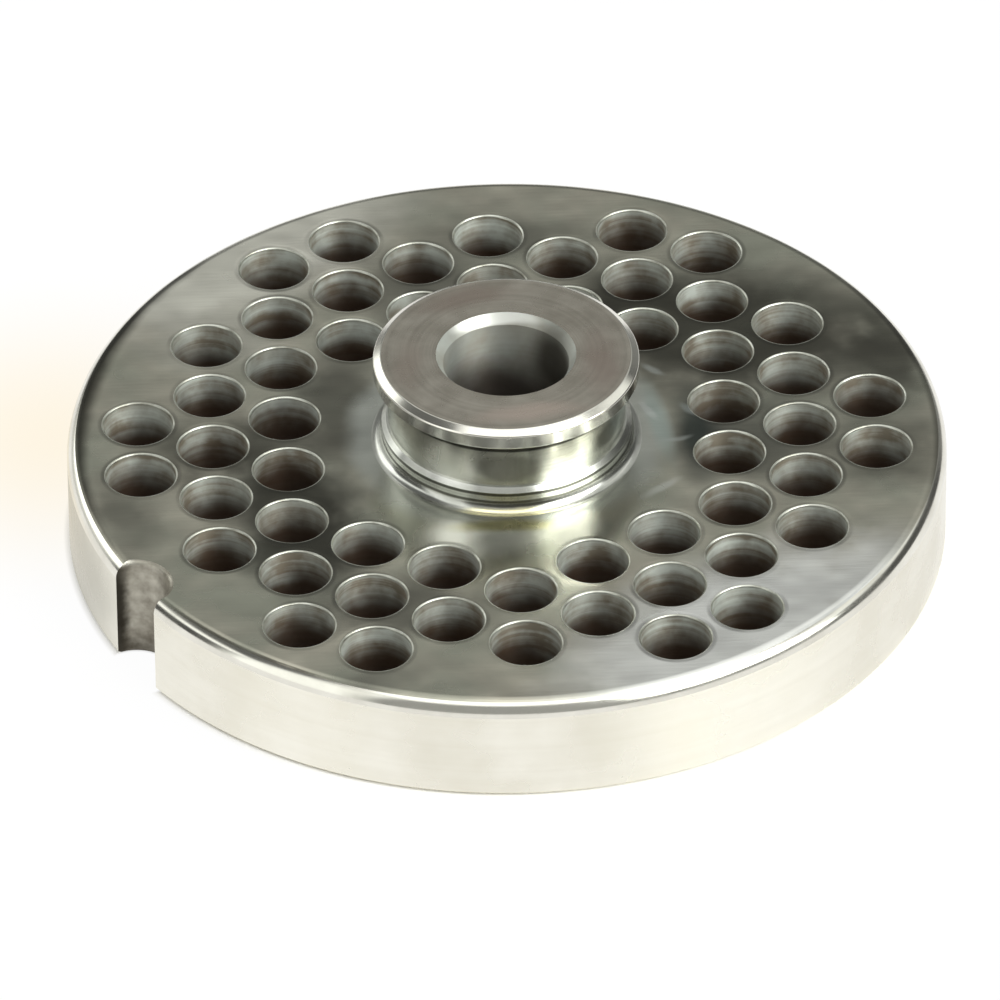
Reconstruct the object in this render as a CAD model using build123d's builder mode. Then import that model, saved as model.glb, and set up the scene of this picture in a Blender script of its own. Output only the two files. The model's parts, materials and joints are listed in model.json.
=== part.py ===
from build123d import *
import math
import os

# Meat grinder plate: one turned and drilled piece of stainless steel, a thick round disc full of
# holes with a necked hub on one side. Lengths are millimetres and angles are degrees. +Z runs
# along the bore towards the hub, and the origin is the centre of the flat cutting face.

# Disc
plate_diameter = 100.0
plate_thickness = 12.7
rim_edge_radius = 1.8
rim_edge_flats = 2

# Drilled holes, on a grid of equal triangles centred on the bore
hole_diameter = 7.9
hole_pitch = 9.64
hub_land = 6.2
rim_land = 3.0

# Hub: foot, neck and flange, from the disc upwards
hub_height = 11.5
foot_diameter = 28.4
foot_height = 2.9
foot_flare = 0.9
foot_chamfer = 0.7
neck_diameter = 27.0
flange_diameter = 30.2
flange_thickness = 2.2
flange_chamfer = 0.6

# Bore through the hub
bore_diameter = 14.3
bore_mouth_width = 1.0
bore_mouth_depth = 1.2

# Half-round keyway in the rim, for the stop pin of the grinder's head
keyway_diameter = 8.0
keyway_angle = 210.0

plate_radius = plate_diameter / 2
foot_radius = foot_diameter / 2
neck_radius = neck_diameter / 2
flange_radius = flange_diameter / 2
bore_radius = bore_diameter / 2
hole_radius = hole_diameter / 2
keyway_radius = keyway_diameter / 2

hub_top = plate_thickness + hub_height
foot_top = plate_thickness + foot_height
flange_base = hub_top - flange_thickness

keyway_centre = Vector(plate_radius, 0).rotate(Axis.Z, keyway_angle)


def grid_points():
    """Return the points of the triangle grid that leave enough steel round their hole.

    Columns stand one triangle's height apart along X, and every second column is shifted by
    half a pitch along Y. A hole keeps the land round the hub's foot, and the land that the rim
    and the keyway need.
    """
    column_step = hole_pitch * math.sqrt(3) / 2
    nearest = foot_radius + hub_land + hole_radius
    farthest = plate_radius - rim_land - hole_radius
    columns = math.ceil(farthest / column_step)
    rows = math.ceil(farthest / hole_pitch)
    points = []
    for column in range(-columns, columns + 1):
        for row in range(-rows, rows + 1):
            shift = 0.5 * (column % 2)
            point = Vector(column * column_step, (row + shift) * hole_pitch)
            from_keyway = (point - keyway_centre).length
            if not nearest <= point.length <= farthest:
                continue
            if from_keyway < keyway_radius + rim_land + hole_radius:
                continue
            points.append(point)
    return points


def rim_edge():
    """Return the section's points along the rim's rounded upper edge, on its quarter circle."""
    centre = Vector(plate_radius - rim_edge_radius, plate_thickness - rim_edge_radius)
    reach = Vector(rim_edge_radius, 0)
    angles = [90 * step / rim_edge_flats for step in range(rim_edge_flats + 1)]
    return [centre + reach.rotate(Axis.Z, angle) for angle in angles]


# Half section of the turned blank, from the bore outwards and back over the hub
section = [
    (bore_radius, 0),
    (plate_radius, 0),
    *rim_edge(),
    (foot_radius + foot_flare, plate_thickness),
    (foot_radius, plate_thickness + foot_flare),
    (foot_radius, foot_top - foot_chamfer),
    (neck_radius, foot_top),
    (neck_radius, flange_base),
    (flange_radius, flange_base),
    (flange_radius, hub_top - flange_chamfer),
    (flange_radius - flange_chamfer, hub_top),
    (bore_radius + bore_mouth_width, hub_top),
    (bore_radius, hub_top - bore_mouth_depth),
]

with BuildPart() as grinder_plate:
    # Turned blank
    with BuildSketch(Plane.XZ):
        with BuildLine():
            Polyline(*section, close=True)
        make_face()
    revolve(axis=Axis.Z)

    # Drilled holes
    with Locations(*grid_points()):
        Hole(radius=hole_radius)

    # Keyway milled through the rim
    with Locations(keyway_centre):
        Hole(radius=keyway_radius)

grinder_plate.part.label = "grinder_plate"

os.makedirs("parts", exist_ok=True)
export_step(grinder_plate.part, "parts/grinder_plate.step")
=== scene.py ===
"""Meat grinder plate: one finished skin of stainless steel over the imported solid, and its studio.

The skin is a closed mesh of smooth patches that are worked out as whole arrays: profiles carried
round upright axes for the rim, the keyway, the hub, the bore and the drilled holes, and two flats
between them. It replaces the solid of the frame, at the same place and with the same sizes, and
adds the small roundings that buffing leaves. Lengths are millimetres until a mesh, a lamp or the
camera is made.
"""
import json
import logging
import math
from dataclasses import dataclass
from enum import Enum

import bpy
import numpy as np
from mathutils import Matrix, Vector
from mathutils.geometry import delaunay_2d_cdt


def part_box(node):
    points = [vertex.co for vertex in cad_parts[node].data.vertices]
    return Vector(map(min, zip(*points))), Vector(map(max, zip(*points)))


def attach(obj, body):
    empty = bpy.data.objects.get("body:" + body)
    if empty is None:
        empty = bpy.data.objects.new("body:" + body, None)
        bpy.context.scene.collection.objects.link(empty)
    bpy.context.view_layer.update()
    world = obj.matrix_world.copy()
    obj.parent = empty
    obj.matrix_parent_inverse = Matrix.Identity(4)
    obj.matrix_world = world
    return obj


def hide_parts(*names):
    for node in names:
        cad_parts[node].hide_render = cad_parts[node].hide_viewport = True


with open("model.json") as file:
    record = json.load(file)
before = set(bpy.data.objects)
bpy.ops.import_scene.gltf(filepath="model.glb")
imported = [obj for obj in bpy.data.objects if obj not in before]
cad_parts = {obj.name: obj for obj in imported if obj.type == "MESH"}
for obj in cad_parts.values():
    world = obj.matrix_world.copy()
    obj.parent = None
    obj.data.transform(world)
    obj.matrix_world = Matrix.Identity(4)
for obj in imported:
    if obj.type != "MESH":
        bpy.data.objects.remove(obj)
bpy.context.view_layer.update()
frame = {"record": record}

Pair = tuple[float, float]
Triple = tuple[float, float, float]
Tree = bpy.types.NodeTree
Socket = bpy.types.NodeSocket

log = logging.getLogger("grinder_plate")

NODE = "grinder_plate"
MM = 0.001
THICKNESS = 12.7
AXIS = (0.0, 0.0)

# Points of the skin, and of a flat's fill, that are nearer than this are one, in millimetres
WELD = 1e-4
FILL_WELD = 1e-7

# The Mix node's colour sockets by number, because its sockets for numbers share their names
COLOUR_A, COLOUR_B, MIXED = 6, 7, 2

# How many octaves a noise has: broad forms alone, some grain, and fine grain
BROAD, GRAINY, FINE = 2.0, 3.0, 4.0


class Surface(Enum):
    """The plate's surfaces, by how each was made. The value is the skin's material slot."""

    BUFFED = 0
    TURNED = 1
    POLISHED = 2
    DRILLED = 3
    REAMED = 4
    GROUND = 5
    MILLED = 6
    DEBURRED = 7
    EASED = 8


class Grain(Enum):
    """What the fine rings of a cut surface go round."""

    BORE = "bore"
    HOLE = "hole"


# Meshes


@dataclass(frozen=True)
class Patch:
    """A smooth piece of the skin: its points, their normals, its triangles and its surface.

    The halo is 0 on open steel and grows to 1 at the mouth of a hole, for each point.
    """

    points: np.ndarray
    normals: np.ndarray
    triangles: np.ndarray
    surface: Surface
    halo: np.ndarray | None = None

    def halos(self) -> np.ndarray:
        """Return the halo of each point."""
        return np.zeros(len(self.points)) if self.halo is None else self.halo


@dataclass(frozen=True)
class Run:
    """A smooth stretch of a profile, as (radius, height) points and their normals.

    A run is followed with the steel on its left, so its normals point to the right. Its halo is
    the patch's, for each point of the profile.
    """

    points: np.ndarray
    normals: np.ndarray
    surface: Surface
    halo: np.ndarray | None = None

    @classmethod
    def straights(cls, surface: Surface, *corners: Pair) -> list["Run"]:
        """Return the straight runs from corner to corner.

        The normal of a run is its direction (r, z) turned clockwise, which is (z, -r).

        Args:
            surface: How these stretches were made.
            corners: The corners, as (radius, height).

        Returns:
            A run for each corner but the first.
        """
        points = np.array(corners, float)
        along = np.diff(points, axis=0)
        along /= np.linalg.norm(along, axis=1, keepdims=True)
        return [cls(points[i:i + 2], np.tile([z, -r], (2, 1)), surface)
                for i, (r, z) in enumerate(along)]

    @classmethod
    def arc(cls, centre: Pair, radius: float, turn: Pair, steps: int, surface: Surface) -> "Run":
        """Return an arc of a circle.

        The point at angle a is centre + radius * (cos a, sin a). Where the angle grows, the steel
        is inside the circle and the normal points away from the centre; where it shrinks, the
        steel is outside and the normal points to the centre.

        Args:
            centre: The circle's centre, as (radius, height).
            radius: The circle's own radius.
            turn: The first and the last angle, in degrees.
            steps: How many chords the arc has.
            surface: How this stretch was made.

        Returns:
            The arc as a run.
        """
        angles = np.radians(np.linspace(*turn, steps + 1))
        spokes = np.stack([np.cos(angles), np.sin(angles)], axis=-1)
        side = 1.0 if turn[1] > turn[0] else -1.0
        return cls(np.array(centre) + radius * spokes, side * spokes, surface)


def grid_triangles(rows: int, columns: int) -> np.ndarray:
    """Return the triangles between the points of a grid that is stored row by row.

    The cell after point (i, j) has the corners (i, j), (i, j + 1), (i + 1, j + 1) and (i + 1, j),
    and is cut in two from its first corner to its third.

    Args:
        rows: How many rows of points the grid has.
        columns: How many points each row has.

    Returns:
        Three point numbers for each triangle.
    """
    first = (np.arange(rows - 1)[:, None] * columns + np.arange(columns - 1)).ravel()
    corners = np.stack([first, first + 1, first + columns + 1, first + columns], axis=-1)
    return corners[:, [0, 1, 2, 0, 2, 3]].reshape(-1, 3)


def sweep(run: Run, centre: Pair, angles: np.ndarray) -> Patch:
    """Carry a run round an upright axis.

    The point at row i and column j is centre + (r_i cos a_ij, r_i sin a_ij, z_i), and its normal
    is turned by the same angle.

    Args:
        run: The stretch that is carried.
        centre: The axis, as (x, y).
        angles: The angles a, as one row for the whole run or a row for each of its points.

    Returns:
        The swept patch.
    """
    columns = angles.shape[-1]
    spokes = np.stack([np.cos(angles), np.sin(angles)], axis=-1)
    pairs = np.stack([run.points, run.normals])[:, :, None]
    level = pairs[..., :1] * spokes
    rise = np.broadcast_to(pairs[..., 1:], (*level.shape[:3], 1))
    points, normals = np.concatenate([level, rise], axis=-1).reshape(2, -1, 3)
    halo = None if run.halo is None else np.repeat(run.halo, columns)
    triangles = grid_triangles(len(run.points), columns)
    return Patch(points + (*centre, 0.0), normals, triangles, run.surface, halo)


def revolve(run: Run, centre: Pair, segments: int) -> Patch:
    """Carry a run once round; its last column lies on the first, and is welded to it later."""
    return sweep(run, centre, np.linspace(0.0, 2.0 * np.pi, segments + 1))


def circle(centre: Pair, radius: float, segments: int) -> np.ndarray:
    """Return the points centre + radius * (cos a, sin a) of a closed circle, each once."""
    angles = np.linspace(0.0, 2.0 * np.pi, segments + 1)[:-1]
    return np.array(centre) + radius * np.stack([np.cos(angles), np.sin(angles)], axis=-1)


def flat_face(edge: np.ndarray, notch: int, voids: list, height: float, up: float,
              surface: Surface) -> Patch:
    """Fill the flat between an outer edge and the round voids inside it with triangles.

    The fill is the Delaunay triangulation that keeps every loop's edges. A triangle is left out
    where all its corners are on one void, because each void is convex, or all on the notch.

    Args:
        edge: The closed outer loop, which begins with the notch's points.
        notch: How many points of the edge are the notch's.
        voids: The closed loops that are left open.
        height: The height of the flat.
        up: 1 for a flat that faces up, -1 for one that faces down.
        surface: How the flat was made.

    Returns:
        The filled flat.
    """
    loops = [edge, *voids]
    sizes = np.array([len(loop) for loop in loops])
    starts = np.cumsum(sizes) - sizes
    owner = np.repeat(np.arange(len(loops)), sizes)
    owner[notch:len(edge)] = -1
    index = np.arange(sizes.sum())
    following = index + 1
    following[starts + sizes - 1] = starts
    points = np.concatenate(loops)
    edges = np.stack([index, following], axis=-1).tolist()
    filled = delaunay_2d_cdt([Vector(point) for point in points], edges, [], 0, FILL_WELD)
    source = np.array([origin[0] for origin in filled[3]])
    triangles = source[np.array(filled[2])]
    owners = owner[triangles]
    inside = (owners[:, 0] == owners[:, 1]) & (owners[:, 1] == owners[:, 2]) & (owners[:, 0] >= 0)
    heights = np.full((len(points), 1), height)
    normals = np.tile([0.0, 0.0, up], (len(points), 1))
    return Patch(np.concatenate([points, heights], axis=-1), normals, triangles[~inside], surface)


def face_outwards(patch: Patch) -> np.ndarray:
    """Wind each triangle of a patch so that it faces as its corners' normals do.

    Args:
        patch: The patch.

    Returns:
        The wound triangles.
    """
    a, b, c = (patch.points[patch.triangles[:, k]] for k in range(3))
    facing = np.cross(b - a, c - a)
    meant = patch.normals[patch.triangles].sum(axis=1)
    wrong = np.einsum("ij,ij->i", facing, meant) < 0.0
    triangles = patch.triangles.copy()
    triangles[wrong] = triangles[wrong][:, ::-1]
    return triangles


def skin_object(name: str, patches: list[Patch], seeds: list[float]) -> bpy.types.Object:
    """Weld patches into one mesh object that keeps each patch's own normals at the seams.

    Points less than WELD apart become one. Each corner of a triangle keeps the normal that its
    patch gave it, so a seam between two tangent patches is smooth and an edge is crisp.

    Args:
        name: The object's name.
        patches: The patches, in any order.
        seeds: One number for each patch, kept on its faces as the attribute "seed".

    Returns:
        The object, linked to the scene.
    """
    counts = np.array([len(patch.points) for patch in patches])
    offsets = np.cumsum(counts) - counts
    wound = [face_outwards(patch) for patch in patches]
    sizes = [len(triangles) for triangles in wound]
    points = np.concatenate([patch.points for patch in patches])
    normals = np.concatenate([patch.normals for patch in patches])
    corners = np.concatenate([triangles + offset for triangles, offset in zip(wound, offsets)])
    _, first, place = np.unique(
        np.round(points / WELD).astype(np.int64), axis=0, return_index=True, return_inverse=True
    )
    mesh = bpy.data.meshes.new(name)
    mesh.from_pydata((points[first] * MM).tolist(), [], place.ravel()[corners].tolist())
    slots = np.repeat([patch.surface.value for patch in patches], sizes)
    mesh.polygons.foreach_set("material_index", slots.astype(np.int32))
    mesh.attributes.new("seed", "FLOAT", "FACE").data.foreach_set("value", np.repeat(seeds, sizes))
    halos = np.concatenate([patch.halos() for patch in patches])[corners].ravel()
    mesh.attributes.new("halo", "FLOAT", "CORNER").data.foreach_set("value", halos)
    mesh.shade_smooth()
    mesh.normals_split_custom_set(normals[corners].reshape(-1, 3).tolist())
    mesh.update()
    skin = bpy.data.objects.new(name, mesh)
    bpy.context.scene.collection.objects.link(skin)
    return skin


# Nodes and colours


def linear(code: str) -> tuple:
    """Turn an sRGB hex value into the linear colour that a shader takes.

    A share s up to 0.04045 becomes s / 12.92, and a larger one ((s + 0.055) / 1.055) ** 2.4.

    Args:
        code: The colour, as in "#bcb8a9".

    Returns:
        Red, green, blue, and an alpha of 1.
    """
    shares = np.array([int(code[i:i + 2], 16) for i in (1, 3, 5)]) / 255.0
    low, high = shares / 12.92, ((shares + 0.055) / 1.055) ** 2.4
    return (*np.where(shares <= 0.04045, low, high).tolist(), 1.0)


def per_mm(size: float) -> float:
    """Return the scale of a noise on coordinates in metres whose lumps are that many mm wide."""
    return 1.0 / (size * MM)


def add(tree: Tree, kind: str, values: dict | None = None,
        links: dict | None = None) -> bpy.types.NodeOutputs:
    """Add a node with its settings and links.

    Args:
        tree: The node tree that gets it.
        kind: The node's type, without its ShaderNode prefix.
        values: A value for each named setting, or for each input by its name or number.
        links: For each input by its name or number, the output that feeds it.

    Returns:
        The new node's outputs.
    """
    node = tree.nodes.new("ShaderNode" + kind)
    for key, value in (values or {}).items():
        if isinstance(key, str) and hasattr(node, key):
            setattr(node, key, value)
        else:
            node.inputs[key].default_value = value
    for key, output in (links or {}).items():
        tree.links.new(output, node.inputs[key])
    return node.outputs


def emptied(owner: bpy.types.ID) -> Tree:
    """Give a new material or world an empty node tree.

    Args:
        owner: The material or world.

    Returns:
        Its node tree.
    """
    owner.use_nodes = True
    owner.node_tree.nodes.clear()
    return owner.node_tree


# Finishes


@dataclass(frozen=True)
class Mark:
    """A soft mark on the steel, such as a haze, a painted highlight or a painted shade: an
    ellipsoid that tints what it meets.

    The size is half its length each way, and the turn is about the upright axis, in degrees. The
    core is the share of its size that has its full strength, and a strength of 1 hides the
    steel's own tone. A core above 1 turns the mark inside out: it then tints what is outside the
    ellipsoid. The stir is how far its outline wanders.
    """

    centre: Triple
    size: Triple
    tone: str
    strength: float
    turn: float = 0.0
    core: float = 0.0
    stir: float = 3.0

    @classmethod
    def on_face(cls, x: float, y: float, length: float, width: float, tone: str, strength: float,
                turn: float = 0.0, core: float = 0.2, stir: float = 3.0) -> "Mark":
        """Return a mark on the plate's upper face, 3 mm deep each way."""
        return cls((x, y, THICKNESS), (length, width, 3.0), tone, strength, turn, core, stir)

    def over(self, tree: Tree, place: Socket, colour: Socket) -> Socket:
        """Lay the mark over a colour. Its strength falls smoothly to 0 at its edge.

        Args:
            tree: The material's node tree.
            place: The place, in metres.
            colour: The colour under the mark.

        Returns:
            The colour with the mark.
        """
        shares = add(tree, "Mapping", {
            "vector_type": "TEXTURE", "Rotation": (0.0, 0.0, math.radians(self.turn)),
            "Location": [value * MM for value in self.centre],
            "Scale": [value * MM for value in self.size]}, {"Vector": place})[0]
        far = add(tree, "VectorMath", {"operation": "LENGTH"}, {0: shares})["Value"]
        share = add(tree, "MapRange", {
            "interpolation_type": "SMOOTHSTEP", "From Min": 1.0, "From Max": self.core,
            "To Max": self.strength}, {"Value": far})[0]
        return add(tree, "Mix", {"data_type": "RGBA", COLOUR_B: linear(self.tone)},
                   {0: share, COLOUR_A: colour})[MIXED]


@dataclass(frozen=True, kw_only=True)
class Steel:
    """Stainless steel: what its finishes have in common.

    Its tone goes from a clean to a cloudy one in clouds, its roughness from the least to the
    greatest between two values of their noise, and marks lie over it, each over those before.
    The lump is how wide the wanderings of a mark's outline are.
    """

    name: str
    clean: str
    cloudy: str
    roughness: Pair
    cloud_size: float
    cloud_range: Pair = (0.3, 0.7)
    lump: float = 7.5
    marks: tuple[Mark, ...] = ()

    def build(self) -> bpy.types.Material:
        """Build the material.

        Returns:
            The material, with the finish's own shader.
        """
        material = bpy.data.materials.new(self.name)
        tree = emptied(material)
        shader = self.shader(tree, add(tree, "TexCoord")["Object"])
        add(tree, "OutputMaterial", {}, {"Surface": shader})
        return material

    def clouds(self, tree: Tree, place: Socket) -> Socket:
        """Return the noise that the tone and the roughness follow."""
        size = per_mm(self.cloud_size)
        return add(tree, "TexNoise", {"Scale": size, "Detail": FINE}, {"Vector": place})[0]

    def rough(self, tree: Tree, clouds: Socket) -> Socket:
        """Return the roughness, which follows the clouds."""
        (low, high), (least, most) = self.cloud_range, self.roughness
        return add(tree, "MapRange", {"From Min": low, "From Max": high, "To Min": least,
                                      "To Max": most}, {"Value": clouds})[0]

    def tone(self, tree: Tree, place: Socket, wear: Socket) -> Socket:
        """Return the steel's colour, with the marks laid over it.

        A noise from -0.5 to 0.5 shifts the place by as much as a mark's stir asks for, so that no
        mark has an even outline.

        Args:
            tree: The material's node tree.
            place: The place, in metres.
            wear: 0 where the steel is clean, 1 where it is cloudy.

        Returns:
            The colour.
        """
        colour = add(tree, "Mix", {"data_type": "RGBA", COLOUR_A: linear(self.clean),
                                   COLOUR_B: linear(self.cloudy)}, {0: wear})[MIXED]
        if not self.marks:
            return colour
        noise = add(tree, "TexNoise", {"Scale": per_mm(self.lump), "Detail": GRAINY},
                    {"Vector": place})[1]
        drift = add(tree, "VectorMath", {"operation": "SUBTRACT", 1: (0.5, 0.5, 0.5)},
                    {0: noise})[0]
        stirred = {}
        for stir in sorted({mark.stir for mark in self.marks}):
            shift = {"operation": "MULTIPLY_ADD", 1: [2.0 * stir * MM] * 3}
            stirred[stir] = add(tree, "VectorMath", shift, {0: drift, 2: place})[0]
        for mark in self.marks:
            colour = mark.over(tree, stirred[mark.stir], colour)
        return colour


@dataclass(frozen=True, kw_only=True)
class BuffedSteel(Steel):
    """Stainless steel buffed to a satin sheen by a cloth wheel.

    The wheel leaves soft waves and clouds in the sheen and hair scratches, which are drawn about
    ten times wider than real ones, so that they show. A dark painted shade lies round the mouths of
    the holes, in patches, where the dips there darken the reflection: it is whole once the halo
    reaches its start. Each range is that of the noise between nothing and all.
    """

    wear_range: Pair = (0.35, 0.65)
    # The painted shade round the mouths of the holes: its tone, strength, start, patch size and
    # noise range
    film: str = "#4b4a44"
    mouth_shade_strength: float = 0.5
    mouth_shade_from: float = 0.7
    mouth_shade_patch: float = 8.0
    mouth_shade_range: Pair = (0.4, 0.6)
    wave_size: float = 11.0
    wave_height: float = 0.3
    scratch_width: float = 0.3
    scratch_stretch: float = 16.0
    scratch_turn: float = 28.0
    scratch_depth: float = 0.005

    def shader(self, tree: Tree, place: Socket) -> Socket:
        """Return the finish's shader.

        Args:
            tree: The material's node tree.
            place: The place, in metres.

        Returns:
            The shader's output.
        """
        clouds = self.clouds(tree, place)
        low, high = self.wear_range
        wear = add(tree, "MapRange", {"From Min": low, "From Max": high}, {"Value": clouds})[0]
        # A painted shade darkens the tone round the mouths of the holes
        colour = add(tree, "Mix", {"data_type": "RGBA", COLOUR_B: linear(self.film)}, {
            0: self.painted_mouth_shade(tree, place), COLOUR_A: self.tone(tree, place, wear)})[MIXED]
        return add(tree, "BsdfPrincipled", {"Metallic": 1.0}, {
            "Base Color": colour, "Roughness": self.rough(tree, clouds),
            "Normal": self.relief(tree, place)})[0]

    def relief(self, tree: Tree, place: Socket) -> Socket:
        """Return the normal, bent by the waves and by the scratches on them.

        Args:
            tree: The material's node tree.
            place: The place, in metres.

        Returns:
            The normal.
        """
        lines = add(tree, "Mapping", {"Rotation": (0.0, 0.0, math.radians(self.scratch_turn)),
                                      "Scale": (1.0, self.scratch_stretch, 1.0)},
                    {"Vector": place})[0]
        normal = {}
        for size, depth, where in (
            (self.wave_size, self.wave_height, place),
            (self.scratch_width * self.scratch_stretch, self.scratch_depth, lines),
        ):
            height = add(tree, "TexNoise", {"Scale": per_mm(size), "Detail": BROAD},
                         {"Vector": where})[0]
            bent = add(tree, "Bump", {"Distance": depth * MM}, {"Height": height, **normal})[0]
            normal = {"Normal": bent}
        return bent

    def painted_mouth_shade(self, tree: Tree, place: Socket) -> Socket:
        """Return the share of the painted shade round the mouths of the holes.

        Args:
            tree: The material's node tree.
            place: The place, in metres.

        Returns:
            The share, from 0 to the strength of the painted shade.
        """
        halo = add(tree, "Attribute", {"attribute_name": "halo"})["Fac"]
        near = add(tree, "MapRange", {
            "interpolation_type": "SMOOTHSTEP", "From Max": self.mouth_shade_from,
            "To Max": self.mouth_shade_strength}, {"Value": halo})[0]
        patch = add(tree, "TexNoise", {"Scale": per_mm(self.mouth_shade_patch), "Detail": BROAD},
                    {"Vector": place})[0]
        low, high = self.mouth_shade_range
        patchy = add(tree, "MapRange", {"From Min": low, "From Max": high}, {"Value": patch})[0]
        return add(tree, "Math", {"operation": "MULTIPLY"}, {0: near, 1: patchy})[0]


@dataclass(frozen=True, kw_only=True)
class RingedSteel(Steel):
    """Stainless steel cut on a lathe or by a drill, which leaves fine rings round its axis.

    The rings follow the height on a wall and the radius on a face that stands across the axis,
    and they stretch a reflection across themselves. Real ones are 0.1 to 0.2 mm apart, and these
    are wider, so that they show. The streak is how far the tone follows them, the contrast is
    how far from the middle it is clean and cloudy, and the bare share is how much of the steel
    shows through a dull coat.
    """

    ring_width: float
    ring_depth: float
    stretch: float
    streak: float = 1.0
    contrast: float = 0.2
    raggedness: float = 0.65
    bare: float = 1.0
    grain: Grain = Grain.BORE

    def shader(self, tree: Tree, place: Socket) -> Socket:
        """Return the finish's shader.

        The tone follows clouds + streak * rings. Both noises have their middle at 0.5. The
        tangent, along which a reflection is stretched, is (up x outwards) x normal.

        Args:
            tree: The material's node tree.
            place: The place, in metres.

        Returns:
            The shader's output.
        """
        normal = add(tree, "NewGeometry")["Normal"]
        clouds = self.clouds(tree, place)
        rings = self.rings(tree, place, normal)
        blend = add(tree, "Math", {"operation": "MULTIPLY_ADD", 1: self.streak},
                    {0: rings, 2: clouds})[0]
        middle = 0.5 + 0.5 * self.streak
        wear = add(tree, "MapRange", {"From Min": middle - self.contrast,
                                      "From Max": middle + self.contrast}, {"Value": blend})[0]
        cut = add(tree, "Bump", {"Distance": self.ring_depth * MM}, {"Height": rings})[0]
        outwards = normal if self.grain is Grain.HOLE else place
        around = add(tree, "VectorMath", {"operation": "CROSS_PRODUCT", 0: (0.0, 0.0, 1.0)},
                     {1: outwards})[0]
        across = add(tree, "VectorMath", {"operation": "CROSS_PRODUCT"},
                     {0: around, 1: normal})[0]
        tangent = add(tree, "VectorMath", {"operation": "NORMALIZE"}, {0: across})[0]
        return add(tree, "BsdfPrincipled", {"Metallic": self.bare, "Anisotropic": self.stretch}, {
            "Base Color": self.tone(tree, place, wear), "Roughness": self.rough(tree, clouds),
            "Normal": cut, "Tangent": tangent})[0]

    def rings(self, tree: Tree, place: Socket, normal: Socket) -> Socket:
        """Return the height of the rings: a noise along the height or the radius.

        Args:
            tree: The material's node tree.
            place: The place, in metres.
            normal: The surface's normal, whose rise says how far the radius counts.

        Returns:
            The height, from 0 to 1.
        """
        seed = add(tree, "Attribute", {"attribute_name": "seed"})["Fac"]
        axes = add(tree, "SeparateXYZ", {}, {0: place})
        plan = add(tree, "CombineXYZ", {}, {0: axes[0], 1: axes[1]})[0]
        radius = add(tree, "VectorMath", {"operation": "LENGTH"}, {0: plan})["Value"]
        rise = add(tree, "SeparateXYZ", {}, {0: normal})[2]
        across = add(tree, "Math", {"operation": "ABSOLUTE"}, {0: rise})[0]
        along = add(tree, "Mix", {"data_type": "FLOAT"},
                    {"Factor": across, "A": axes[2], "B": radius})["Result"]
        line = add(tree, "CombineXYZ", {}, {0: along, 1: seed})[0]
        return add(tree, "TexNoise", {"Scale": per_mm(self.ring_width), "Detail": FINE,
                                      "Roughness": self.raggedness}, {"Vector": line})[0]


# Marks on the upper face, each over those before: x, y, half its length and width, its tone and
# its strength, then its turn, its core and its stir where they aren't the usual ones
FACE_MARKS = (
    # Clouds in the sheen, lighter and darker: painted reflection of the surroundings
    (-28.0, 37.0, 28.0, 14.0, "#ebe9dd", 0.95, 38.0, 0.4),
    (-8.0, 28.0, 14.0, 12.0, "#75746a", 0.9),
    (2.0, 38.0, 16.0, 6.0, "#76756b", 0.8, -8.0),
    (-33.0, 20.0, 11.0, 8.0, "#cfcdc2", 0.6),
    (-19.0, 6.0, 7.5, 16.0, "#66655c", 0.9, 0.0, 0.3),
    (-32.0, -1.0, 14.0, 9.0, "#59584f", 0.85, 0.0, 0.3),
    (26.0, 18.0, 27.0, 19.0, "#48473f", 0.95, -15.0, 0.35),
    (15.0, 26.0, 10.0, 9.0, "#44433b", 0.9),
    (44.0, 13.0, 6.0, 15.0, "#504f47", 0.85, 12.0, 0.3),
    (-24.5, -15.0, 20.0, 11.0, "#3f3e37", 0.95, 106.0, 0.35),
    (-44.0, -12.0, 5.0, 12.0, "#75746a", 0.7, 8.0),
    (-13.0, -31.0, 14.0, 8.0, "#68675e", 0.85, 0.0, 0.3),
    (-19.0, -45.0, 9.0, 4.0, "#76756c", 0.7, 23.0),
    (26.0, -38.0, 32.0, 18.0, "#eeeeea", 1.0, 32.0, 0.4),
    (28.0, -3.0, 12.0, 11.0, "#62625a", 0.85, 0.0, 0.3),
    (42.0, -5.0, 12.0, 10.0, "#6f6e64", 0.9),
    # The paler ring round the hub that the wheel can't reach, with light and dark places in it
    # that are painted reflection
    (0.0, 0.0, 19.5, 19.5, "#b7bab3", 0.8, 0.0, 0.85, 1.2),
    (-4.0, -19.0, 9.0, 4.5, "#eeeee6", 0.9, 0.0, 0.4, 1.2),
    (7.6, -19.0, 5.5, 4.0, "#8c8c85", 0.8, 20.0, 0.4, 1.2),
    (21.5, -1.0, 4.5, 12.0, "#363d3a", 0.9, 0.0, 0.2, 1.2),
    (17.3, 1.5, 1.8, 10.0, "#adbab4", 0.7, 8.0, 0.2, 0.8),
    (-1.0, -17.0, 8.0, 1.8, "#b8b283", 0.9, 0.0, 0.3, 0.8),
    # Short bright scuffs beside the hub
    (17.1, 11.3, 2.2, 0.7, "#c3c8c4", 0.45, -38.0, 0.2, 1.2),
    (16.2, 3.6, 2.6, 0.8, "#d9dcd8", 0.45, -67.0, 0.2, 1.2),
    (19.1, -1.8, 2.8, 0.7, "#b5bab6", 0.5, 12.0, 0.2, 1.2),
    (16.8, -10.8, 4.0, 0.9, "#d6d8d2", 0.5, 39.0, 0.2, 1.2),
    (20.7, 3.6, 2.2, 0.7, "#afb6b2", 0.5, -52.0, 0.2, 1.2),
)

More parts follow.
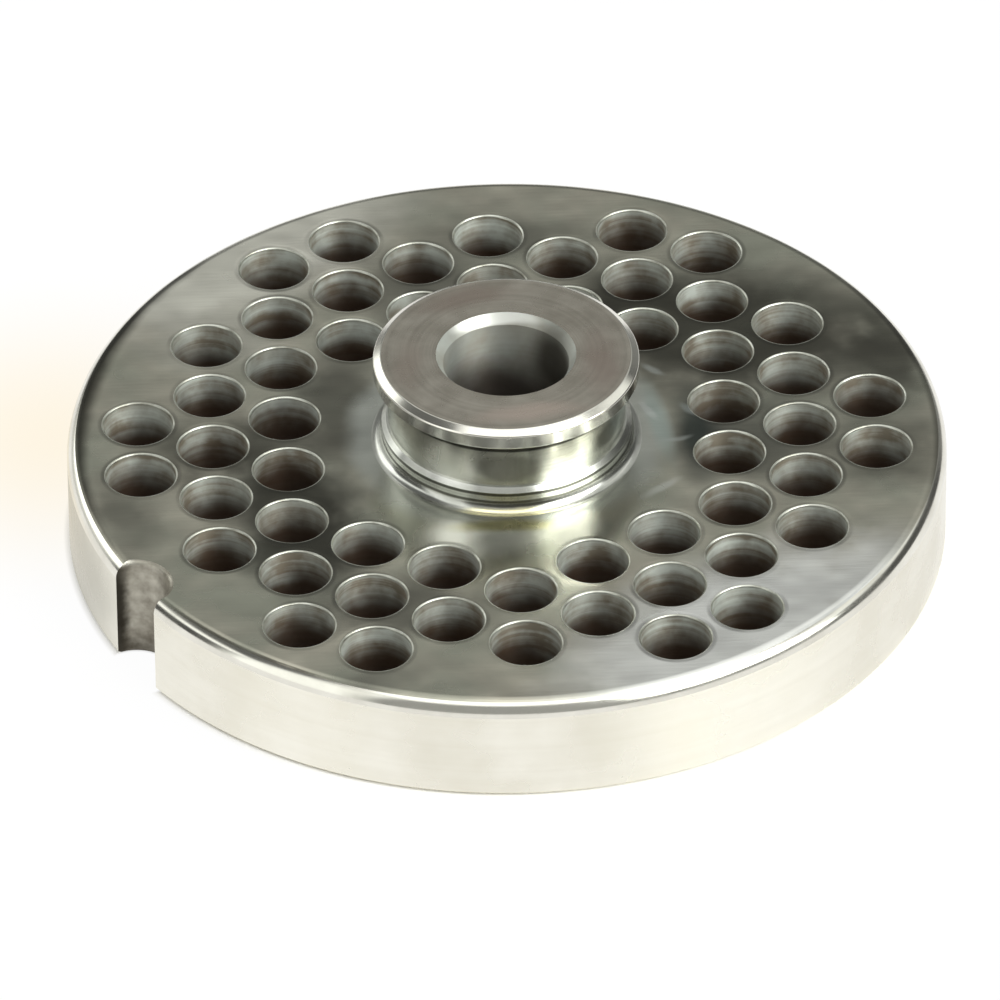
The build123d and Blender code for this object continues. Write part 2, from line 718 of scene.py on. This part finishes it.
FINISHES = {
    # Satin: reflections are soft and wavy, and the sheen drifts from bright to dull. The last
    # two marks are dark crescents along the rim's edge, outside balls a little off the axis: a
    # painted reflection of the darker room
    Surface.BUFFED: BuffedSteel(
        name="buffed_stainless_steel", clean="#bcb8a9", cloudy="#a3a496",
        roughness=(0.17, 0.30), cloud_size=9.0, marks=(
            *(Mark.on_face(*row) for row in FACE_MARKS),
            # Painted reflection of the darker room: dark crescents along the rim's edge
            Mark((7.7, -2.1, THICKNESS), (54.8, 54.8, 54.8), "#33322b", 0.85, 0.0, 1.03, 0.8),
            Mark((-5.2, -3.0, THICKNESS), (54.4, 54.4, 54.4), "#3a3932", 0.8, 0.0, 1.02, 0.8),
        )),
    # A fine lathe cut: bright bars up and down the neck, painted highlight and shade on its front,
    # a painted highlight that whitens the flange, and painted shade in lines under the flange and
    # in the steps of the foot, with a painted warm highlight along the foot's front
    Surface.TURNED: RingedSteel(
        name="turned_stainless_steel", clean="#d7d8d1", cloudy="#adaea6",
        roughness=(0.18, 0.28), cloud_size=5.0, ring_width=0.5, ring_depth=0.004,
        stretch=0.7, streak=0.6, lump=5.0, marks=(
            Mark((-7.4, -11.2, 17.6), (4.6, 4.0, 3.6), "#eeeee9", 0.9, 0.0, 0.4, 0.6),
            Mark((-0.5, -13.6, 18.0), (4.8, 2.5, 2.3), "#8f8f88", 0.8, 0.0, 0.6, 0.4),
            Mark((11.0, -7.6, 18.4), (3.2, 4.0, 2.2), "#62635c", 0.85, 0.0, 0.4, 0.8),
            Mark((0.0, 0.0, 23.0), (90.0, 90.0, 1.4), "#fbfcf8", 0.9, 0.0, 0.75, 0.1),
            Mark((0.0, 0.0, 20.7), (90.0, 90.0, 0.46), "#25241e", 0.9, 0.0, 0.4, 0.15),
            Mark((0.0, 0.0, 14.85), (90.0, 90.0, 0.28), "#34332b", 0.85, 0.0, 0.4, 0.1),
            Mark((0.0, 0.0, 13.85), (90.0, 90.0, 0.26), "#3f3d33", 0.8, 0.0, 0.4, 0.1),
            Mark((0.0, -15.0, 13.45), (11.0, 4.0, 0.3), "#3c3a2b", 0.85, 0.0, 0.4, 0.1),
            Mark((-1.0, -15.4, 12.85), (10.0, 2.4, 0.5), "#fff8cd", 0.9, 0.0, 0.5, 0.3),
        )),
    # Ground and polished: an even, slightly warm mirror of the table, with a painted darker
    # reflection at its left
    Surface.POLISHED: RingedSteel(
        name="polished_stainless_steel", clean="#f7f4e8", cloudy="#efebdc",
        roughness=(0.24, 0.30), cloud_size=9.0, ring_width=1.2, ring_depth=0.0008,
        stretch=0.95, streak=0.5, marks=(
            Mark((-50.0, -6.0, 6.0), (16.0, 26.0, 14.0), "#bcb9ac", 0.9, 0.0, 0.3),
        )),
    # A drill's rough rings under a dull coat, grey at the mouth, with painted shade that darkens
    # them to brown further down
    Surface.DRILLED: RingedSteel(
        name="drilled_stainless_steel", clean="#cdd2ca", cloudy="#877f70",
        roughness=(0.50, 0.62), cloud_size=3.0, ring_width=1.2, ring_depth=0.045,
        stretch=0.7, streak=1.1, bare=0.5, grain=Grain.HOLE, marks=(
            Mark((0.0, 0.0, 3.0), (150.0, 150.0, 10.0), "#3b2715", 0.97, 0.0, 0.5),
        )),
    # Smooth and dull, with painted shade that darkens it downwards and to the right, under a
    # painted highlight on the lip at the back
    Surface.REAMED: RingedSteel(
        name="reamed_stainless_steel", clean="#bdc1bb", cloudy="#a19e93",
        roughness=(0.42, 0.52), cloud_size=5.0, ring_width=0.7, ring_depth=0.004,
        stretch=0.85, streak=0.25, bare=0.6, marks=(
            Mark((0.0, 0.0, 10.0), (60.0, 60.0, 12.3), "#3a3029", 0.95, 0.0, 0.3),
            Mark((6.2, 4.0, 19.5), (5.0, 6.0, 6.0), "#3b362e", 0.9, 0.0, 0.35, 1.0),
            Mark((-2.0, 7.6, 23.8), (8.0, 4.0, 1.0), "#e9eae4", 0.9, 0.0, 0.5, 0.3),
        )),
    # Flat satin with faint rings, a shade warmer than the rest, with brownish touches
    Surface.GROUND: RingedSteel(
        name="ground_stainless_steel", clean="#bfb9ad", cloudy="#9b958a",
        roughness=(0.20, 0.32), cloud_size=4.0, ring_width=0.6, ring_depth=0.0015,
        stretch=0.3, streak=0.7, marks=(
            Mark((-4.0, 10.5, 24.2), (8.0, 3.0, 2.0), "#96867c", 0.6, 12.0, 0.2, 2.0),
            Mark((10.5, -2.0, 24.2), (3.0, 8.0, 2.0), "#a3948a", 0.7, 0.0, 0.2, 2.0),
            Mark((2.0, -11.5, 24.2), (9.0, 2.2, 2.0), "#cfbfb3", 0.7, 8.0, 0.2, 1.5),
            Mark((-11.0, -2.0, 24.2), (2.5, 7.0, 2.0), "#a99d92", 0.6, 0.0, 0.2, 1.5),
        )),
    # Matt and mottled, with painted shade in its corner, darker along its base, and a painted
    # highlight on its lip
    Surface.MILLED: RingedSteel(
        name="milled_stainless_steel", clean="#c2beb1", cloudy="#777165",
        roughness=(0.45, 0.55), cloud_size=2.2, ring_width=0.8, ring_depth=0.003,
        stretch=0.3, streak=0.0, grain=Grain.HOLE, lump=1.5, marks=(
            Mark((-45.2, -21.8, 6.0), (2.0, 2.0, 12.0), "#302c24", 0.9, 0.0, 0.4, 0.6),
            Mark((-43.0, -24.0, 0.0), (6.0, 6.0, 3.5), "#3c382f", 0.8, 0.0, 0.3, 0.6),
            Mark((-45.5, -22.0, 13.0), (4.2, 2.6, 1.1), "#f4f2e8", 0.9, 0.0, 0.4, 0.4),
        )),
    # Eased by hand: a thin pale line round each hole, dull here and there
    Surface.DEBURRED: RingedSteel(
        name="deburred_stainless_steel", clean="#dddfd4", cloudy="#8e8d82",
        roughness=(0.34, 0.46), cloud_size=2.5, ring_width=0.4, ring_depth=0.001,
        stretch=0.0, streak=0.0, grain=Grain.HOLE),
    # Rounded and polished: the brightest lines on the plate, which mirror the softboxes
    Surface.EASED: RingedSteel(
        name="eased_stainless_steel", clean="#eceae0", cloudy="#dcd9ce",
        roughness=(0.14, 0.24), cloud_size=5.0, ring_width=0.5, ring_depth=0.001,
        stretch=0.3, streak=0.5),
}


# The plate


@dataclass(frozen=True)
class Keyway:
    """The half-round keyway that is milled through the rim for the stop pin."""

    centre: Pair
    radius: float
    mouth_radius: float = 0.5
    base_chamfer: float = 0.3
    steps: int = 40

    def wall(self, heights: np.ndarray, top: float, chamfer_height: float) -> Run:
        """Return the wall, flared in a quarter round at the top and in a cone at the base.

        With m as the rounding's radius and u as the height above its start, the wall stands
        m - sqrt(m^2 - u^2) back, and its normal leans up by the sine u / m.

        Args:
            heights: The heights of its points.
            top: The height of the upper face.
            chamfer_height: How high the cone at the base is.

        Returns:
            The wall's run, with normals that point to the keyway's axis.
        """
        up = np.clip(heights - (top - self.mouth_radius), 0.0, self.mouth_radius)
        flare = self.mouth_radius - np.sqrt(self.mouth_radius ** 2 - up ** 2)
        cone = self.base_chamfer * np.clip(1.0 - heights / chamfer_height, 0.0, 1.0)
        lean = up / self.mouth_radius
        points = np.stack([self.radius + flare + cone, heights], axis=-1)
        return Run(points, np.stack([-np.sqrt(1.0 - lean ** 2), lean], axis=-1), Surface.MILLED)


@dataclass(frozen=True)
class Rim:
    """The outer wall, rounded above and chamfered below, and broken by the keyway.

    The face's buffing begins on the upper rounding, at an angle in degrees from the wall.
    """

    radius: float
    thickness: float
    keyway: Keyway
    edge_radius: float = 1.8
    buffed_from: float = 62.0
    eased_steps: int = 12
    buffed_steps: int = 6
    base_chamfer: float = 0.5
    segments: int = 360

    def profile(self) -> list[Run]:
        """Work out the rim's section, from the cutting face upwards.

        Returns:
            Its runs.
        """
        shoulder = self.thickness - self.edge_radius
        centre = (self.radius - self.edge_radius, shoulder)
        return [
            *Run.straights(Surface.POLISHED, (self.radius - self.base_chamfer, 0.0),
                           (self.radius, self.base_chamfer), (self.radius, shoulder)),
            Run.arc(centre, self.edge_radius, (0.0, self.buffed_from), self.eased_steps,
                    Surface.EASED),
            Run.arc(centre, self.edge_radius, (self.buffed_from, 90.0), self.buffed_steps,
                    Surface.BUFFED),
        ]

    def rings(self, run: Run) -> tuple[Patch, Patch]:
        """Carry one run of the section round the plate, and the keyway's wall beside it.

        Bore axis, keyway axis and the point where a ring of radius r meets the keyway's wall form
        a triangle with the sides R, r and k. By the law of cosines, its angle at the bore is
        acos((R^2 + r^2 - k^2) / 2 R r), and its angle at the keyway is
        acos((R^2 + k^2 - r^2) / 2 R k). The rim goes from the one meeting point round the plate to
        the other, and the keyway's wall by way of the side that faces the bore.

        Args:
            run: The run of the section.

        Returns:
            The rim's patch and the keyway's.
        """
        wall = self.keyway.wall(run.points[:, 1], self.thickness, self.base_chamfer)
        radii, reach = run.points[:, :1], wall.points[:, :1]
        x, y = self.keyway.centre
        far, bearing = math.hypot(x, y), math.atan2(y, x)
        at_bore = np.arccos((far ** 2 + radii ** 2 - reach ** 2) / (2.0 * far * radii))
        at_keyway = np.arccos((far ** 2 + reach ** 2 - radii ** 2) / (2.0 * far * reach))
        steps = np.linspace(0.0, 1.0, self.segments + 1)
        turn = np.linspace(-1.0, 1.0, self.keyway.steps + 1)
        rim = sweep(run, AXIS, bearing + at_bore + (2.0 * np.pi - 2.0 * at_bore) * steps)
        return rim, sweep(wall, (x, y), bearing + np.pi + at_keyway * turn)

    def patches(self) -> list[Patch]:
        """Return every patch of the rim and the keyway."""
        return [patch for run in self.profile() for patch in self.rings(run)]

    def edge(self, run: Run, end: int) -> np.ndarray:
        """Return the closed loop at a run's first (0) or last (-1) point, the keyway first."""
        rim, keyway = self.rings(Run(run.points[[end]], run.normals[[end]], run.surface))
        return np.concatenate([keyway.points[:, :2], rim.points[::-1][1:-1, :2]])


@dataclass(frozen=True)
class HoleGrid:
    """The drilled holes, on a grid of equal triangles centred on the bore.

    A land is the least steel between a hole and the hub's foot, the rim or the keyway. The dip
    is what buffing leaves round a hole, and it is a little deeper at some holes than at others.
    """

    rim: Rim
    foot_radius: float
    pitch: float = 9.64
    radius: float = 3.95
    hub_land: float = 6.2
    rim_land: float = 3.0
    keyway_land: float = 3.0
    mouth_radius: float = 0.22
    dip_radius: float = 4.78
    dip_depths: Pair = (0.004, 0.022)
    segments: int = 56
    dip_steps: int = 6
    mouth_steps: int = 6

    def centres(self) -> np.ndarray:
        """Work out the holes' centres.

        The grid's columns are pitch * sqrt(3) / 2 apart along X, and every second one is shifted
        by half a pitch along Y. Points too near the hub, the rim or the keyway are left out.

        Returns:
            The centres, as rows of (x, y).
        """
        nearest = self.foot_radius + self.hub_land + self.radius
        farthest = self.rim.radius - self.rim_land - self.radius
        reach = math.ceil(farthest / self.pitch) + 1
        column, row = np.meshgrid(np.arange(-reach, reach + 1), np.arange(-reach, reach + 1))
        x = column * self.pitch * math.sqrt(3.0) / 2.0
        y = (row + 0.5 * (column % 2)) * self.pitch
        points = np.stack([x, y], axis=-1).reshape(-1, 2)
        radii = np.linalg.norm(points, axis=1)
        from_keyway = np.linalg.norm(points - np.array(self.rim.keyway.centre), axis=1)
        clear = from_keyway >= self.rim.keyway.radius + self.keyway_land + self.radius
        return points[(radii >= nearest) & (radii <= farthest) & clear]

    def profile(self, depth: float) -> list[Run]:
        """Work out one hole's section, from the face down into the hole.

        The dip falls from the face as depth * (1 + cos(pi s)) / 2, where s goes from 1 at its
        outer edge to 0 at the mouth.

        Args:
            depth: How deep the dip is at the mouth.

        Returns:
            The runs of the dip, the mouth and the wall.
        """
        lip = self.radius + self.mouth_radius
        share = np.linspace(1.0, 0.0, self.dip_steps + 1)
        width = self.dip_radius - lip
        fall = 0.5 * depth * (1.0 + np.cos(np.pi * share))
        slope = 0.5 * depth * np.pi / width * np.sin(np.pi * share)
        points = np.stack([lip + width * share, self.rim.thickness - fall], axis=-1)
        normals = np.stack([-slope, np.ones_like(slope)], axis=-1)
        normals /= np.linalg.norm(normals, axis=1, keepdims=True)
        shoulder = self.rim.thickness - depth - self.mouth_radius
        return [
            Run(points, normals, Surface.BUFFED, 1.0 - share),
            Run.arc((lip, shoulder), self.mouth_radius, (90.0, 180.0), self.mouth_steps,
                    Surface.DEBURRED),
            *Run.straights(Surface.DRILLED, (self.radius, shoulder), (self.radius, 0.0)),
        ]

    def patches(self, chance: np.random.Generator) -> tuple[list[Patch], list[float]]:
        """Build every patch of the holes.

        Args:
            chance: Where each hole's own random number comes from, which also sets its dip.

        Returns:
            The patches and, for each, its hole's number.
        """
        shallow, deep = self.dip_depths
        patches, seeds = [], []
        for centre in self.centres():
            seed = chance.random()
            for run in self.profile(shallow + (deep - shallow) * seed):
                patches.append(revolve(run, centre, self.segments))
                seeds.append(seed)
        return patches, seeds

    def loops(self, radius: float) -> list[np.ndarray]:
        """Return a circle of that radius round each hole."""
        return [circle(centre, radius, self.segments) for centre in self.centres()]


@dataclass(frozen=True)
class Hub:
    """The hub on the plate's upper side, from its foot over its flange and down the bore.

    The flange's upper edge is a chamfer of that length between two small roundings, and its
    normal leans up by edge_lean, in degrees.
    """

    plate_top: float
    top: float
    bore_radius: float
    foot_radius: float = 14.2
    foot_height: float = 2.9
    foot_fillet: float = 1.2
    foot_steps: int = 10
    ledge_width: float = 0.5
    neck_radius: float = 13.5
    neck_fillet: float = 1.4
    neck_steps: int = 12
    flange_radius: float = 15.1
    flange_thickness: float = 2.2
    lower_edge: float = 0.15
    lower_steps: int = 4
    edge_radius: float = 0.3
    edge_length: float = 0.75
    edge_lean: float = 58.0
    edge_steps: int = 5
    mouth_width: float = 0.8
    mouth_depth: float = 1.2
    base_chamfer: float = 0.4
    segments: int = 240

    def eased_edge(self) -> list[Run]:
        """Work out the flange's upper edge.

        Each rounding turns through its share of the right angle, and the chamfer joins their
        ends.

        Returns:
            Its runs, from the flange's side to the hub's end.
        """
        radius, lean = self.edge_radius, math.radians(self.edge_lean)
        width = radius + self.edge_length * math.sin(lean)
        height = radius + self.edge_length * math.cos(lean)
        first = Run.arc((self.flange_radius - radius, self.top - height), radius,
                        (0.0, self.edge_lean), self.edge_steps, Surface.EASED)
        last = Run.arc((self.flange_radius - width, self.top - radius), radius,
                       (self.edge_lean, 90.0), self.edge_steps, Surface.EASED)
        return [first, *Run.straights(Surface.EASED, first.points[-1], last.points[0]), last]

    def profile(self) -> list[Run]:
        """Work out the hub's section, from the foot up and down the bore.

        Returns:
            Its runs.
        """
        turned, low = Surface.TURNED, self.lower_edge
        fillet, rise = self.foot_fillet, self.neck_fillet
        foot, neck = self.foot_radius, self.neck_radius
        side, bore = self.flange_radius, self.bore_radius
        face, foot_top = self.plate_top, self.plate_top + self.foot_height
        step, base = self.ledge_width, self.top - self.flange_thickness
        eased = self.eased_edge()
        mouth = (bore + self.mouth_width, self.top)
        return [
            Run.arc((foot + fillet, face + fillet), fillet, (-90.0, -180.0), self.foot_steps,
                    turned),
            *Run.straights(turned, (foot, face + fillet), (foot, foot_top - step),
                           (foot - step, foot_top), (neck, foot_top), (neck, base - rise)),
            Run.arc((neck + rise, base - rise), rise, (180.0, 90.0), self.neck_steps, turned),
            *Run.straights(turned, (neck + rise, base), (side - low, base)),
            Run.arc((side - low, base + low), low, (-90.0, 0.0), self.lower_steps, turned),
            *Run.straights(turned, (side, base + low), eased[0].points[0]),
            *eased,
            *Run.straights(Surface.GROUND, eased[-1].points[-1], mouth),
            *Run.straights(Surface.REAMED, mouth, (bore, self.top - self.mouth_depth),
                           (bore, self.base_chamfer), (bore + self.base_chamfer, 0.0)),
        ]

    def patches(self) -> list[Patch]:
        """Return every patch of the hub and the bore."""
        return [revolve(run, AXIS, self.segments) for run in self.profile()]


@dataclass(frozen=True)
class GrinderPlate:
    """The whole plate: rim, keyway, drilled holes, hub and bore as one skin."""

    rim: Rim
    holes: HoleGrid
    hub: Hub
    chance_seed: int = 7

    @classmethod
    def from_frame(cls) -> "GrinderPlate":
        """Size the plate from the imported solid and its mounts.

        Returns:
            The plate.
        """
        mounts = {mount["name"]: mount for mount in frame["record"]["mounts"]}
        x, y, _ = mounts["keyway"]["pos_m"]
        _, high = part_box(NODE)
        keyway = Keyway((x / MM, y / MM), mounts["keyway"]["dims"]["r_mm"])
        rim = Rim(high.x / MM, THICKNESS, keyway)
        hub = Hub(THICKNESS, high.z / MM, mounts["bore"]["dims"]["r_mm"])
        return cls(rim, HoleGrid(rim, hub.foot_radius), hub)

    def flats(self) -> tuple[Patch, Patch]:
        """Fill the flats between the rim, the holes and the hub.

        Returns:
            The upper face and the cutting face.
        """
        rim, holes, hub = self.rim, self.holes, self.hub
        section = rim.profile()
        notch = rim.keyway.steps + 1
        foot = circle(AXIS, hub.foot_radius + hub.foot_fillet, hub.segments)
        bore = circle(AXIS, hub.bore_radius + hub.base_chamfer, hub.segments)
        upper = flat_face(rim.edge(section[-1], -1), notch, [*holes.loops(holes.dip_radius), foot],
                          rim.thickness, 1.0, Surface.BUFFED)
        lower = flat_face(rim.edge(section[0], 0), notch, [*holes.loops(holes.radius), bore],
                          0.0, -1.0, Surface.GROUND)
        return upper, lower

    def build(self) -> bpy.types.Object:
        """Build the skin, dress it and put it in the solid's place.

        Returns:
            The skin, with one material for each surface, in the order of the slots.
        """
        bored, seeds = self.holes.patches(np.random.default_rng(self.chance_seed))
        plain = [*self.flats(), *self.rim.patches(), *self.hub.patches()]
        skin = skin_object("plate_skin", [*plain, *bored], [0.0] * len(plain) + seeds)
        for surface in Surface:
            skin.data.materials.append(FINISHES[surface].build())
        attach(skin, "root")
        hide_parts(NODE)
        return skin


# The studio


def bearing_vector(azimuth: float, elevation: float) -> Vector:
    """Return (sin a cos e, -cos a cos e, sin e): a is right of the front, -Y, and e is up."""
    a, e = math.radians(azimuth), math.radians(elevation)
    return Vector((math.sin(a) * math.cos(e), -math.cos(a) * math.cos(e), math.sin(e)))


@dataclass(frozen=True)
class Viewpoint:
    """The photograph's viewing angle: a long lens, a little left of the front and well above.

    Near and far are the distances that the camera shows, in metres.
    """

    aim: Triple = (-1.446, -12.143, THICKNESS)
    azimuth: float = -2.913
    elevation: float = 37.181
    roll: float = -0.48
    distance: float = 1499.6
    lens: float = 478.2
    sensor: float = 36.0
    near: float = 0.1
    far: float = 20.0

    def build(self) -> bpy.types.Object:
        """Create the camera and make it the scene's.

        Returns:
            The camera.
        """
        back = bearing_vector(self.azimuth, self.elevation)
        data = bpy.data.cameras.new("camera")
        data.lens = self.lens
        data.sensor_width = self.sensor
        data.clip_start, data.clip_end = self.near, self.far
        camera = bpy.data.objects.new("camera", data)
        turn = (-back).to_track_quat("-Z", "Y").to_matrix().to_4x4()
        place = (Vector(self.aim) + back * self.distance) * MM
        spin = Matrix.Rotation(math.radians(self.roll), 4, "Z")
        camera.matrix_world = Matrix.Translation(place) @ turn @ spin
        bpy.context.scene.collection.objects.link(camera)
        bpy.context.scene.camera = camera
        return camera


@dataclass(frozen=True)
class Softbox:
    """A soft square lamp that faces the plate from a bearing, with its lengths in metres."""

    name: str = "top_softbox"
    azimuth: float = 5.0
    elevation: float = 82.0
    distance: float = 0.9
    side: float = 0.7
    watts: float = 0.9

    def build(self) -> bpy.types.Object:
        """Create the lamp.

        Returns:
            The lamp.
        """
        data = bpy.data.lights.new(self.name, "AREA")
        data.shape = "SQUARE"
        data.size = self.side
        data.energy = self.watts
        lamp = bpy.data.objects.new(self.name, data)
        away = bearing_vector(self.azimuth, self.elevation)
        lamp.location = away * self.distance
        lamp.rotation_euler = away.to_track_quat("Z", "Y").to_euler()
        lamp.visible_camera = False
        bpy.context.scene.collection.objects.link(lamp)
        return lamp


@dataclass(frozen=True)
class Panel:
    """A card or a softbox in the surroundings, between two azimuths and two elevations.

    Its edges are soft by that many degrees each way, and a level of 1 is white.
    """

    azimuths: Pair
    elevations: Pair
    soft: float
    level: float

    def over(self, tree: Tree, azimuth: Socket, elevation: Socket, sky: Socket) -> Socket:
        """Lay the panel over the sky.

        Its share is 1 well between its limits, and falls smoothly to 0 beyond them.

        Args:
            tree: The world's node tree.
            azimuth: The azimuth of a ray, in radians.
            elevation: Its elevation, in radians.
            sky: The brightness behind the panel.

        Returns:
            The brightness with the panel.
        """
        shares = []
        for angle, (low, high) in ((azimuth, self.azimuths), (elevation, self.elevations)):
            middle, half = (low + high) / 2.0, (high - low) / 2.0
            off = add(tree, "Math", {"operation": "SUBTRACT", 1: math.radians(middle)},
                      {0: angle})[0]
            away = add(tree, "Math", {"operation": "ABSOLUTE"}, {0: off})[0]
            shares.append(add(tree, "MapRange", {
                "interpolation_type": "SMOOTHSTEP", "From Min": math.radians(half + self.soft),
                "From Max": math.radians(half - self.soft)}, {"Value": away})[0])
        share = add(tree, "Math", {"operation": "MULTIPLY"}, dict(enumerate(shares)))[0]
        return add(tree, "Mix", {"data_type": "FLOAT", "B": self.level},
                   {"Factor": share, "A": sky})["Result"]


@dataclass(frozen=True)
class Studio:
    """A white table under soft light, in a room that is darker than the table.

    The table's side is in metres. The white comes in between the two radii of covered, round
    the plate, and between those of notch_reach, in the keyway. A pool of warm light is painted on
    the table beside the plate, at its left. Each sky level is an elevation in degrees and the
    brightness there.
    """

    table_side: float = 8.0
    card: str = "#f4f2ee"
    covered: Pair = (49.6, 50.7)
    notch: Pair = (-43.3, -25.0)
    notch_reach: Pair = (4.6, 4.0)
    open_share: float = 0.97
    painted_glow: str = "#fff6e4"
    painted_glow_place: Pair = (-52.0, 20.0)
    painted_glow_reach: float = 34.0
    lamp: Softbox = Softbox()
    sky_tone: str = "#fdfffc"
    sky_levels: tuple[Pair, ...] = (
        (-5.0, 0.35), (5.0, 0.25), (14.0, 0.20), (26.0, 0.22), (32.0, 0.34), (38.0, 0.50),
        (47.0, 0.85), (60.0, 1.1))
    panels: tuple[Panel, ...] = (
        Panel((-178.0, -152.0), (-5.0, 30.0), 6.0, 0.2),    # dark card at the back
        Panel((-150.0, -76.0), (42.0, 76.0), 4.0, 0.12),    # flag high on the left
        Panel((-76.0, 136.0), (3.0, 56.0), 5.0, 0.25),      # dark cards all round the front
        Panel((-152.0, -112.0), (-5.0, 14.0), 4.0, 0.65),   # card low at the back left
        Panel((-152.0, -112.0), (14.0, 40.0), 4.0, 2.0),    # softbox over it
        Panel((-112.0, -76.0), (-5.0, 27.0), 3.0, 0.08),    # flag on the left
        Panel((-112.0, -76.0), (28.0, 39.0), 3.0, 1.4),     # strip light over it
        Panel((84.0, 136.0), (-5.0, 29.0), 3.0, 0.08),      # flag on the right
        Panel((84.0, 136.0), (30.0, 50.0), 3.0, 1.0),       # strip light over it
        Panel((-74.0, -38.0), (-5.0, 56.0), 4.0, 1.3),      # softbox at the front left
        Panel((-32.0, 28.0), (2.0, 49.0), 5.0, 0.38),       # grey card at the front
        Panel((31.0, 83.0), (20.0, 64.0), 3.0, 7.5),        # bright softbox at the front right
    )

    def build(self) -> tuple[bpy.types.ID, ...]:
        """Return the floor, the sky and the lamp."""
        return self.floor(), self.sky(), self.lamp.build()

    def floor(self) -> bpy.types.Object:
        """Create the table's top.

        Returns:
            The floor.
        """
        half = self.table_side / 2.0
        mesh = bpy.data.meshes.new("floor")
        mesh.from_pydata([(-half, -half, 0), (half, -half, 0), (half, half, 0), (-half, half, 0)],
                         [], [(0, 1, 2, 3)])
        mesh.materials.append(self.white_card())
        floor = bpy.data.objects.new("floor", mesh)
        bpy.context.scene.collection.objects.link(floor)
        return floor

    def white_card(self) -> bpy.types.Material:
        """Build matt card, which keeps the plate's shadow under it and shows white round it.

        Returns:
            The card's material.
        """
        material = bpy.data.materials.new("white_card")
        tree = emptied(material)
        rays = add(tree, "LightPath")
        seen = rays["Is Camera Ray"]
        for kind in ("Is Glossy Ray", "Is Transmission Ray"):
            seen = add(tree, "Math", {"operation": "MAXIMUM"}, {0: seen, 1: rays[kind]})[0]
        place = add(tree, "TexCoord")["Object"]
        far = add(tree, "VectorMath", {"operation": "LENGTH"}, {0: place})["Value"]
        in_notch, in_painted_glow = (
            add(tree, "VectorMath", {"operation": "DISTANCE", 1: (x * MM, y * MM, 0.0)},
                {0: place})["Value"] for x, y in (self.notch, self.painted_glow_place))
        outside, inside = (
            add(tree, "MapRange", {"From Min": first * MM, "From Max": last * MM,
                                   "To Max": self.open_share}, {"Value": away})[0]
            for away, (first, last) in ((far, self.covered), (in_notch, self.notch_reach)))
        bare = add(tree, "Math", {"operation": "MAXIMUM"}, {0: outside, 1: inside})[0]
        share = add(tree, "Math", {"operation": "MULTIPLY"}, {0: seen, 1: bare})[0]
        # A pool of warm light painted on the card beside the plate
        warm = add(tree, "MapRange", {
            "interpolation_type": "SMOOTHSTEP", "From Min": self.painted_glow_reach * MM,
            "From Max": 0.0}, {"Value": in_painted_glow})[0]
        tone = add(tree, "Mix", {"data_type": "RGBA", COLOUR_A: linear("#ffffff"),
                                 COLOUR_B: linear(self.painted_glow)}, {0: warm})[MIXED]
        card = add(tree, "BsdfDiffuse", {"Color": linear(self.card)})[0]
        white = add(tree, "Emission", {}, {"Color": tone})[0]
        both = add(tree, "MixShader", {}, {0: share, 1: card, 2: white})[0]
        add(tree, "OutputMaterial", {}, {"Surface": both})
        return material

    def sky(self) -> bpy.types.World:
        """Create the surroundings: the levels from the horizon up, then the panels over them.

        Returns:
            The world.
        """
        world = bpy.data.worlds.new("studio")
        bpy.context.scene.world = world
        tree = emptied(world)
        axes = add(tree, "SeparateXYZ", {}, {0: add(tree, "TexCoord")["Generated"]})
        front = add(tree, "Math", {"operation": "MULTIPLY", 1: -1.0}, {0: axes[1]})[0]
        azimuth = add(tree, "Math", {"operation": "ARCTAN2"}, {0: axes[0], 1: front})[0]
        elevation = add(tree, "Math", {"operation": "ARCSINE"}, {0: axes[2]})[0]
        (lower, level), *others = self.sky_levels
        sky = add(tree, "Value")[0]
        sky.default_value = level
        for upper, level in others:
            share = add(tree, "MapRange", {"From Min": math.radians(lower),
                                           "From Max": math.radians(upper)},
                        {"Value": elevation})[0]
            sky = add(tree, "Mix", {"data_type": "FLOAT", "B": level},
                      {"Factor": share, "A": sky})["Result"]
            lower = upper
        for panel in self.panels:
            sky = panel.over(tree, azimuth, elevation, sky)
        light = add(tree, "Background", {"Color": linear(self.sky_tone)}, {"Strength": sky})[0]
        add(tree, "OutputWorld", {}, {"Surface": light})
        return world


def main() -> None:
    """Build the camera, the plate and the studio."""
    logging.basicConfig(level=logging.INFO, format="%(name)s: %(message)s")
    bpy.context.scene.view_settings.view_transform = "Standard"
    camera = Viewpoint().build()
    log.info("%s has a lens of %.0f mm", camera.name, camera.data.lens)
    skin = GrinderPlate.from_frame().build()
    log.info("%s has %d triangles", skin.name, len(skin.data.polygons))
    for piece in Studio().build():
        log.info("%s is in place", piece.name)


if __name__ == "__main__":
    main()
